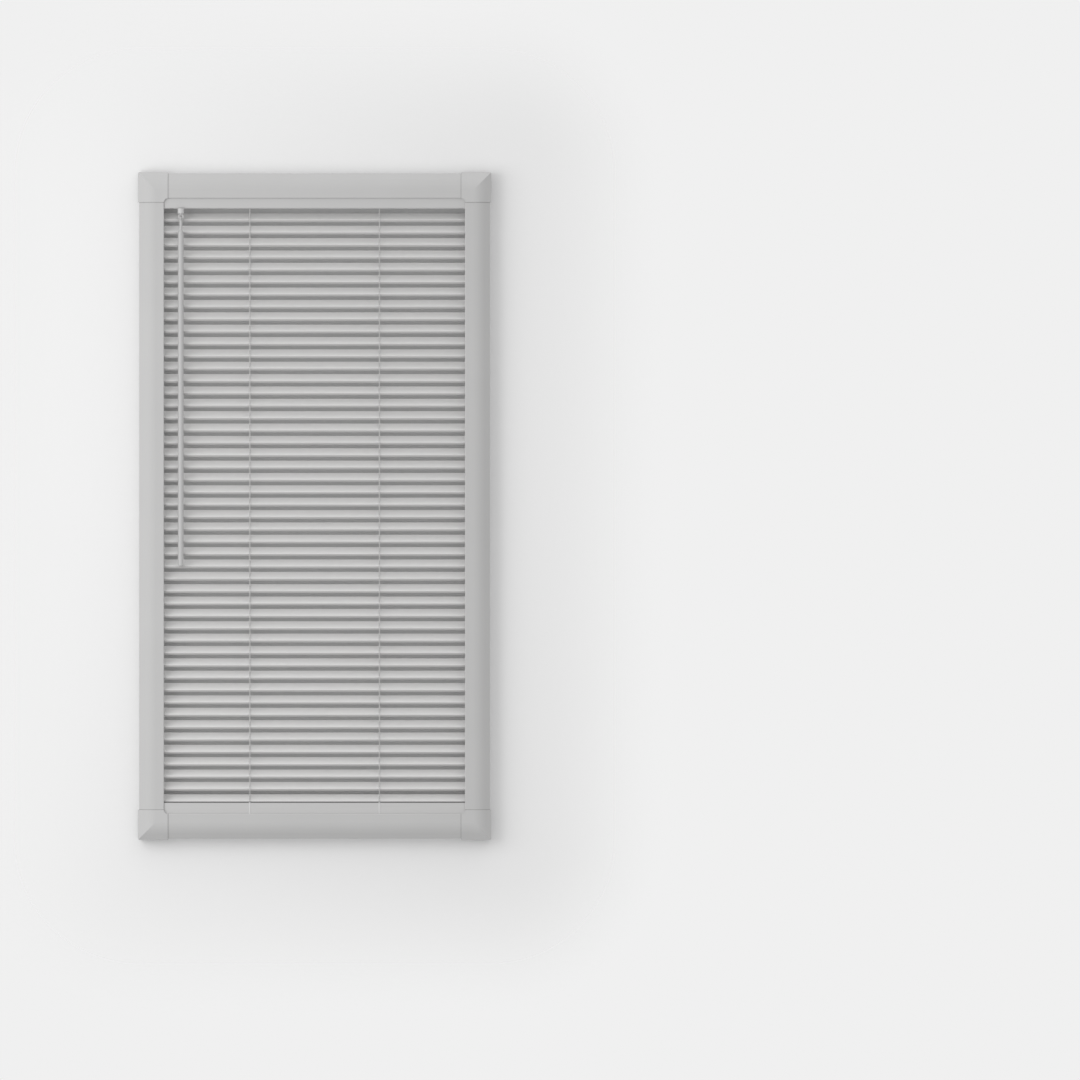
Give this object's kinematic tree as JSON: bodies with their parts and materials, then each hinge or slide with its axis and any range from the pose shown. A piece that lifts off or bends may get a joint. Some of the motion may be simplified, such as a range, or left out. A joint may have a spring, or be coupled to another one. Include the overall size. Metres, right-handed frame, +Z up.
{
  "type": "framed wooden slat blind",
  "caption": "Window blind in a rounded frame: level wooden slats on string ladders tilt together as a hanging wand is turned.",
  "frame": {"origin": "middle of the top bar's back face, which rests on the window sash", "axes": "+X across the blind, +Y from its front to its back, +Z up"},
  "size_m": [0.6, 0.0403, 1.1341],
  "materials": {
    "bar": "light grey coating",
    "corner": "satin",
    "headrail": "satin paint",
    "bottom_rail": "satin paint",
    "slat": "satin paint",
    "string": "braided",
    "cord": "braided",
    "wand": "satin",
    "tilter": "satin",
    "shaft": "drawn"
  },
  "bodies": {
    "frame": {"frame_bars": "bar", "corner_pieces": "corner", "headrail": "headrail", "bottom_rail": "bottom_rail", "shaft_cradles": "tilter", "tilter_housing": "tilter", "guide_cords": "cord"},
    "tilt_shaft": {"tilt_shaft": "shaft"},
    "wand": {"tilter_stem": "wand", "tilt_wand": "wand"},
    "ladder_front": {"ladder_front": "string"},
    "ladder_rear": {"ladder_rear": "string"},
    "slat_01": {"slat_01": "slat"},
    "slat_02": {"slat_02": "slat"},
    "slat_03": {"slat_03": "slat"},
    "slat_04": {"slat_04": "slat"},
    "slat_05": {"slat_05": "slat"},
    "slat_06": {"slat_06": "slat"},
    "slat_07": {"slat_07": "slat"},
    "slat_08": {"slat_08": "slat"},
    "slat_09": {"slat_09": "slat"},
    "slat_10": {"slat_10": "slat"},
    "slat_11": {"slat_11": "slat"},
    "slat_12": {"slat_12": "slat"},
    "slat_13": {"slat_13": "slat"},
    "slat_14": {"slat_14": "slat"},
    "slat_15": {"slat_15": "slat"},
    "slat_16": {"slat_16": "slat"},
    "slat_17": {"slat_17": "slat"},
    "slat_18": {"slat_18": "slat"},
    "slat_19": {"slat_19": "slat"},
    "slat_20": {"slat_20": "slat"},
    "slat_21": {"slat_21": "slat"},
    "slat_22": {"slat_22": "slat"},
    "slat_23": {"slat_23": "slat"},
    "slat_24": {"slat_24": "slat"},
    "slat_25": {"slat_25": "slat"},
    "slat_26": {"slat_26": "slat"},
    "slat_27": {"slat_27": "slat"},
    "slat_28": {"slat_28": "slat"},
    "slat_29": {"slat_29": "slat"},
    "slat_30": {"slat_30": "slat"},
    "slat_31": {"slat_31": "slat"},
    "slat_32": {"slat_32": "slat"},
    "slat_33": {"slat_33": "slat"},
    "slat_34": {"slat_34": "slat"},
    "slat_35": {"slat_35": "slat"},
    "slat_36": {"slat_36": "slat"},
    "slat_37": {"slat_37": "slat"},
    "slat_38": {"slat_38": "slat"},
    "slat_39": {"slat_39": "slat"},
    "slat_40": {"slat_40": "slat"},
    "slat_41": {"slat_41": "slat"},
    "slat_42": {"slat_42": "slat"},
    "slat_43": {"slat_43": "slat"},
    "slat_44": {"slat_44": "slat"},
    "slat_45": {"slat_45": "slat"},
    "slat_46": {"slat_46": "slat"},
    "slat_47": {"slat_47": "slat"},
    "slat_48": {"slat_48": "slat"}
  },
  "joints": [
    {"name": "tilt", "type": "hinge", "parent": "frame", "child": "tilt_shaft", "pos_m": [0, -0.0168, -0.03875], "axis": [1, 0, 0], "range_deg": [-94, 36]},
    {"name": "slat_01_tilt", "type": "hinge", "parent": "frame", "child": "slat_01", "pos_m": [0, -0.0168, -0.06707], "axis": [1, 0, 0], "range_deg": [-94, 36]},
    {"name": "slat_02_tilt", "type": "hinge", "parent": "frame", "child": "slat_02", "pos_m": [0, -0.0168, -0.08807], "axis": [1, 0, 0], "range_deg": [-94, 36]},
    {"name": "slat_03_tilt", "type": "hinge", "parent": "frame", "child": "slat_03", "pos_m": [0, -0.0168, -0.10907], "axis": [1, 0, 0], "range_deg": [-94, 36]},
    {"name": "slat_04_tilt", "type": "hinge", "parent": "frame", "child": "slat_04", "pos_m": [0, -0.0168, -0.13007], "axis": [1, 0, 0], "range_deg": [-94, 36]},
    {"name": "slat_05_tilt", "type": "hinge", "parent": "frame", "child": "slat_05", "pos_m": [0, -0.0168, -0.15107], "axis": [1, 0, 0], "range_deg": [-94, 36]},
    {"name": "slat_06_tilt", "type": "hinge", "parent": "frame", "child": "slat_06", "pos_m": [0, -0.0168, -0.17207], "axis": [1, 0, 0], "range_deg": [-94, 36]},
    {"name": "slat_07_tilt", "type": "hinge", "parent": "frame", "child": "slat_07", "pos_m": [0, -0.0168, -0.19307], "axis": [1, 0, 0], "range_deg": [-94, 36]},
    {"name": "slat_08_tilt", "type": "hinge", "parent": "frame", "child": "slat_08", "pos_m": [0, -0.0168, -0.21407], "axis": [1, 0, 0], "range_deg": [-94, 36]},
    {"name": "slat_09_tilt", "type": "hinge", "parent": "frame", "child": "slat_09", "pos_m": [0, -0.0168, -0.23507], "axis": [1, 0, 0], "range_deg": [-94, 36]},
    {"name": "slat_10_tilt", "type": "hinge", "parent": "frame", "child": "slat_10", "pos_m": [0, -0.0168, -0.25607], "axis": [1, 0, 0], "range_deg": [-94, 36]},
    {"name": "slat_11_tilt", "type": "hinge", "parent": "frame", "child": "slat_11", "pos_m": [0, -0.0168, -0.27707], "axis": [1, 0, 0], "range_deg": [-94, 36]},
    {"name": "slat_12_tilt", "type": "hinge", "parent": "frame", "child": "slat_12", "pos_m": [0, -0.0168, -0.29807], "axis": [1, 0, 0], "range_deg": [-94, 36]},
    {"name": "slat_13_tilt", "type": "hinge", "parent": "frame", "child": "slat_13", "pos_m": [0, -0.0168, -0.31907], "axis": [1, 0, 0], "range_deg": [-94, 36]},
    {"name": "slat_14_tilt", "type": "hinge", "parent": "frame", "child": "slat_14", "pos_m": [0, -0.0168, -0.34007], "axis": [1, 0, 0], "range_deg": [-94, 36]},
    {"name": "slat_15_tilt", "type": "hinge", "parent": "frame", "child": "slat_15", "pos_m": [0, -0.0168, -0.36107], "axis": [1, 0, 0], "range_deg": [-94, 36]},
    {"name": "slat_16_tilt", "type": "hinge", "parent": "frame", "child": "slat_16", "pos_m": [0, -0.0168, -0.38207], "axis": [1, 0, 0], "range_deg": [-94, 36]},
    {"name": "slat_17_tilt", "type": "hinge", "parent": "frame", "child": "slat_17", "pos_m": [0, -0.0168, -0.40307], "axis": [1, 0, 0], "range_deg": [-94, 36]},
    {"name": "slat_18_tilt", "type": "hinge", "parent": "frame", "child": "slat_18", "pos_m": [0, -0.0168, -0.42407], "axis": [1, 0, 0], "range_deg": [-94, 36]},
    {"name": "slat_19_tilt", "type": "hinge", "parent": "frame", "child": "slat_19", "pos_m": [0, -0.0168, -0.44507], "axis": [1, 0, 0], "range_deg": [-94, 36]},
    {"name": "slat_20_tilt", "type": "hinge", "parent": "frame", "child": "slat_20", "pos_m": [0, -0.0168, -0.46607], "axis": [1, 0, 0], "range_deg": [-94, 36]},
    {"name": "slat_21_tilt", "type": "hinge", "parent": "frame", "child": "slat_21", "pos_m": [0, -0.0168, -0.48707], "axis": [1, 0, 0], "range_deg": [-94, 36]},
    {"name": "slat_22_tilt", "type": "hinge", "parent": "frame", "child": "slat_22", "pos_m": [0, -0.0168, -0.50807], "axis": [1, 0, 0], "range_deg": [-94, 36]},
    {"name": "slat_23_tilt", "type": "hinge", "parent": "frame", "child": "slat_23", "pos_m": [0, -0.0168, -0.52907], "axis": [1, 0, 0], "range_deg": [-94, 36]},
    {"name": "slat_24_tilt", "type": "hinge", "parent": "frame", "child": "slat_24", "pos_m": [0, -0.0168, -0.55007], "axis": [1, 0, 0], "range_deg": [-94, 36]},
    {"name": "slat_25_tilt", "type": "hinge", "parent": "frame", "child": "slat_25", "pos_m": [0, -0.0168, -0.57107], "axis": [1, 0, 0], "range_deg": [-94, 36]},
    {"name": "slat_26_tilt", "type": "hinge", "parent": "frame", "child": "slat_26", "pos_m": [0, -0.0168, -0.59207], "axis": [1, 0, 0], "range_deg": [-94, 36]},
    {"name": "slat_27_tilt", "type": "hinge", "parent": "frame", "child": "slat_27", "pos_m": [0, -0.0168, -0.61307], "axis": [1, 0, 0], "range_deg": [-94, 36]},
    {"name": "slat_28_tilt", "type": "hinge", "parent": "frame", "child": "slat_28", "pos_m": [0, -0.0168, -0.63407], "axis": [1, 0, 0], "range_deg": [-94, 36]},
    {"name": "slat_29_tilt", "type": "hinge", "parent": "frame", "child": "slat_29", "pos_m": [0, -0.0168, -0.65507], "axis": [1, 0, 0], "range_deg": [-94, 36]},
    {"name": "slat_30_tilt", "type": "hinge", "parent": "frame", "child": "slat_30", "pos_m": [0, -0.0168, -0.67607], "axis": [1, 0, 0], "range_deg": [-94, 36]},
    {"name": "slat_31_tilt", "type": "hinge", "parent": "frame", "child": "slat_31", "pos_m": [0, -0.0168, -0.69707], "axis": [1, 0, 0], "range_deg": [-94, 36]},
    {"name": "slat_32_tilt", "type": "hinge", "parent": "frame", "child": "slat_32", "pos_m": [0, -0.0168, -0.71807], "axis": [1, 0, 0], "range_deg": [-94, 36]},
    {"name": "slat_33_tilt", "type": "hinge", "parent": "frame", "child": "slat_33", "pos_m": [0, -0.0168, -0.73907], "axis": [1, 0, 0], "range_deg": [-94, 36]},
    {"name": "slat_34_tilt", "type": "hinge", "parent": "frame", "child": "slat_34", "pos_m": [0, -0.0168, -0.76007], "axis": [1, 0, 0], "range_deg": [-94, 36]},
    {"name": "slat_35_tilt", "type": "hinge", "parent": "frame", "child": "slat_35", "pos_m": [0, -0.0168, -0.78107], "axis": [1, 0, 0], "range_deg": [-94, 36]},
    {"name": "slat_36_tilt", "type": "hinge", "parent": "frame", "child": "slat_36", "pos_m": [0, -0.0168, -0.80207], "axis": [1, 0, 0], "range_deg": [-94, 36]},
    {"name": "slat_37_tilt", "type": "hinge", "parent": "frame", "child": "slat_37", "pos_m": [0, -0.0168, -0.82307], "axis": [1, 0, 0], "range_deg": [-94, 36]},
    {"name": "slat_38_tilt", "type": "hinge", "parent": "frame", "child": "slat_38", "pos_m": [0, -0.0168, -0.84407], "axis": [1, 0, 0], "range_deg": [-94, 36]},
    {"name": "slat_39_tilt", "type": "hinge", "parent": "frame", "child": "slat_39", "pos_m": [0, -0.0168, -0.86507], "axis": [1, 0, 0], "range_deg": [-94, 36]},
    {"name": "slat_40_tilt", "type": "hinge", "parent": "frame", "child": "slat_40", "pos_m": [0, -0.0168, -0.88607], "axis": [1, 0, 0], "range_deg": [-94, 36]},
    {"name": "slat_41_tilt", "type": "hinge", "parent": "frame", "child": "slat_41", "pos_m": [0, -0.0168, -0.90707], "axis": [1, 0, 0], "range_deg": [-94, 36]},
    {"name": "slat_42_tilt", "type": "hinge", "parent": "frame", "child": "slat_42", "pos_m": [0, -0.0168, -0.92807], "axis": [1, 0, 0], "range_deg": [-94, 36]},
    {"name": "slat_43_tilt", "type": "hinge", "parent": "frame", "child": "slat_43", "pos_m": [0, -0.0168, -0.94907], "axis": [1, 0, 0], "range_deg": [-94, 36]},
    {"name": "slat_44_tilt", "type": "hinge", "parent": "frame", "child": "slat_44", "pos_m": [0, -0.0168, -0.97007], "axis": [1, 0, 0], "range_deg": [-94, 36]},
    {"name": "slat_45_tilt", "type": "hinge", "parent": "frame", "child": "slat_45", "pos_m": [0, -0.0168, -0.99107], "axis": [1, 0, 0], "range_deg": [-94, 36]},
    {"name": "slat_46_tilt", "type": "hinge", "parent": "frame", "child": "slat_46", "pos_m": [0, -0.0168, -1.01207], "axis": [1, 0, 0], "range_deg": [-94, 36]},
    {"name": "slat_47_tilt", "type": "hinge", "parent": "frame", "child": "slat_47", "pos_m": [0, -0.0168, -1.03307], "axis": [1, 0, 0], "range_deg": [-94, 36]},
    {"name": "slat_48_tilt", "type": "hinge", "parent": "frame", "child": "slat_48", "pos_m": [0, -0.0168, -1.05407], "axis": [1, 0, 0], "range_deg": [-94, 36]},
    {"name": "wand_turn", "type": "hinge", "parent": "frame", "child": "wand", "pos_m": [-0.227, -0.035, -0.05125], "axis": [0, 0, 1], "range_deg": [-1128, 432]},
    {"name": "ladder_front_hang", "type": "hinge", "parent": "slat_01", "child": "ladder_front", "pos_m": [0, -0.02598, -0.07216], "axis": [1, 0, 0], "range_deg": [-36, 94]},
    {"name": "ladder_rear_hang", "type": "hinge", "parent": "slat_01", "child": "ladder_rear", "pos_m": [0, -0.00762, -0.06198], "axis": [1, 0, 0], "range_deg": [-36, 94]}
  ],
  "couplings": [
    {"joint": "slat_01_tilt", "follows": "tilt", "ratio": 1},
    {"joint": "slat_02_tilt", "follows": "tilt", "ratio": 1},
    {"joint": "slat_03_tilt", "follows": "tilt", "ratio": 1},
    {"joint": "slat_04_tilt", "follows": "tilt", "ratio": 1},
    {"joint": "slat_05_tilt", "follows": "tilt", "ratio": 1},
    {"joint": "slat_06_tilt", "follows": "tilt", "ratio": 1},
    {"joint": "slat_07_tilt", "follows": "tilt", "ratio": 1},
    {"joint": "slat_08_tilt", "follows": "tilt", "ratio": 1},
    {"joint": "slat_09_tilt", "follows": "tilt", "ratio": 1},
    {"joint": "slat_10_tilt", "follows": "tilt", "ratio": 1},
    {"joint": "slat_11_tilt", "follows": "tilt", "ratio": 1},
    {"joint": "slat_12_tilt", "follows": "tilt", "ratio": 1},
    {"joint": "slat_13_tilt", "follows": "tilt", "ratio": 1},
    {"joint": "slat_14_tilt", "follows": "tilt", "ratio": 1},
    {"joint": "slat_15_tilt", "follows": "tilt", "ratio": 1},
    {"joint": "slat_16_tilt", "follows": "tilt", "ratio": 1},
    {"joint": "slat_17_tilt", "follows": "tilt", "ratio": 1},
    {"joint": "slat_18_tilt", "follows": "tilt", "ratio": 1},
    {"joint": "slat_19_tilt", "follows": "tilt", "ratio": 1},
    {"joint": "slat_20_tilt", "follows": "tilt", "ratio": 1},
    {"joint": "slat_21_tilt", "follows": "tilt", "ratio": 1},
    {"joint": "slat_22_tilt", "follows": "tilt", "ratio": 1},
    {"joint": "slat_23_tilt", "follows": "tilt", "ratio": 1},
    {"joint": "slat_24_tilt", "follows": "tilt", "ratio": 1},
    {"joint": "slat_25_tilt", "follows": "tilt", "ratio": 1},
    {"joint": "slat_26_tilt", "follows": "tilt", "ratio": 1},
    {"joint": "slat_27_tilt", "follows": "tilt", "ratio": 1},
    {"joint": "slat_28_tilt", "follows": "tilt", "ratio": 1},
    {"joint": "slat_29_tilt", "follows": "tilt", "ratio": 1},
    {"joint": "slat_30_tilt", "follows": "tilt", "ratio": 1},
    {"joint": "slat_31_tilt", "follows": "tilt", "ratio": 1},
    {"joint": "slat_32_tilt", "follows": "tilt", "ratio": 1},
    {"joint": "slat_33_tilt", "follows": "tilt", "ratio": 1},
    {"joint": "slat_34_tilt", "follows": "tilt", "ratio": 1},
    {"joint": "slat_35_tilt", "follows": "tilt", "ratio": 1},
    {"joint": "slat_36_tilt", "follows": "tilt", "ratio": 1},
    {"joint": "slat_37_tilt", "follows": "tilt", "ratio": 1},
    {"joint": "slat_38_tilt", "follows": "tilt", "ratio": 1},
    {"joint": "slat_39_tilt", "follows": "tilt", "ratio": 1},
    {"joint": "slat_40_tilt", "follows": "tilt", "ratio": 1},
    {"joint": "slat_41_tilt", "follows": "tilt", "ratio": 1},
    {"joint": "slat_42_tilt", "follows": "tilt", "ratio": 1},
    {"joint": "slat_43_tilt", "follows": "tilt", "ratio": 1},
    {"joint": "slat_44_tilt", "follows": "tilt", "ratio": 1},
    {"joint": "slat_45_tilt", "follows": "tilt", "ratio": 1},
    {"joint": "slat_46_tilt", "follows": "tilt", "ratio": 1},
    {"joint": "slat_47_tilt", "follows": "tilt", "ratio": 1},
    {"joint": "slat_48_tilt", "follows": "tilt", "ratio": 1},
    {"joint": "wand_turn", "follows": "tilt", "ratio": 12},
    {"joint": "ladder_front_hang", "follows": "tilt", "ratio": -1},
    {"joint": "ladder_rear_hang", "follows": "tilt", "ratio": -1}
  ]
}
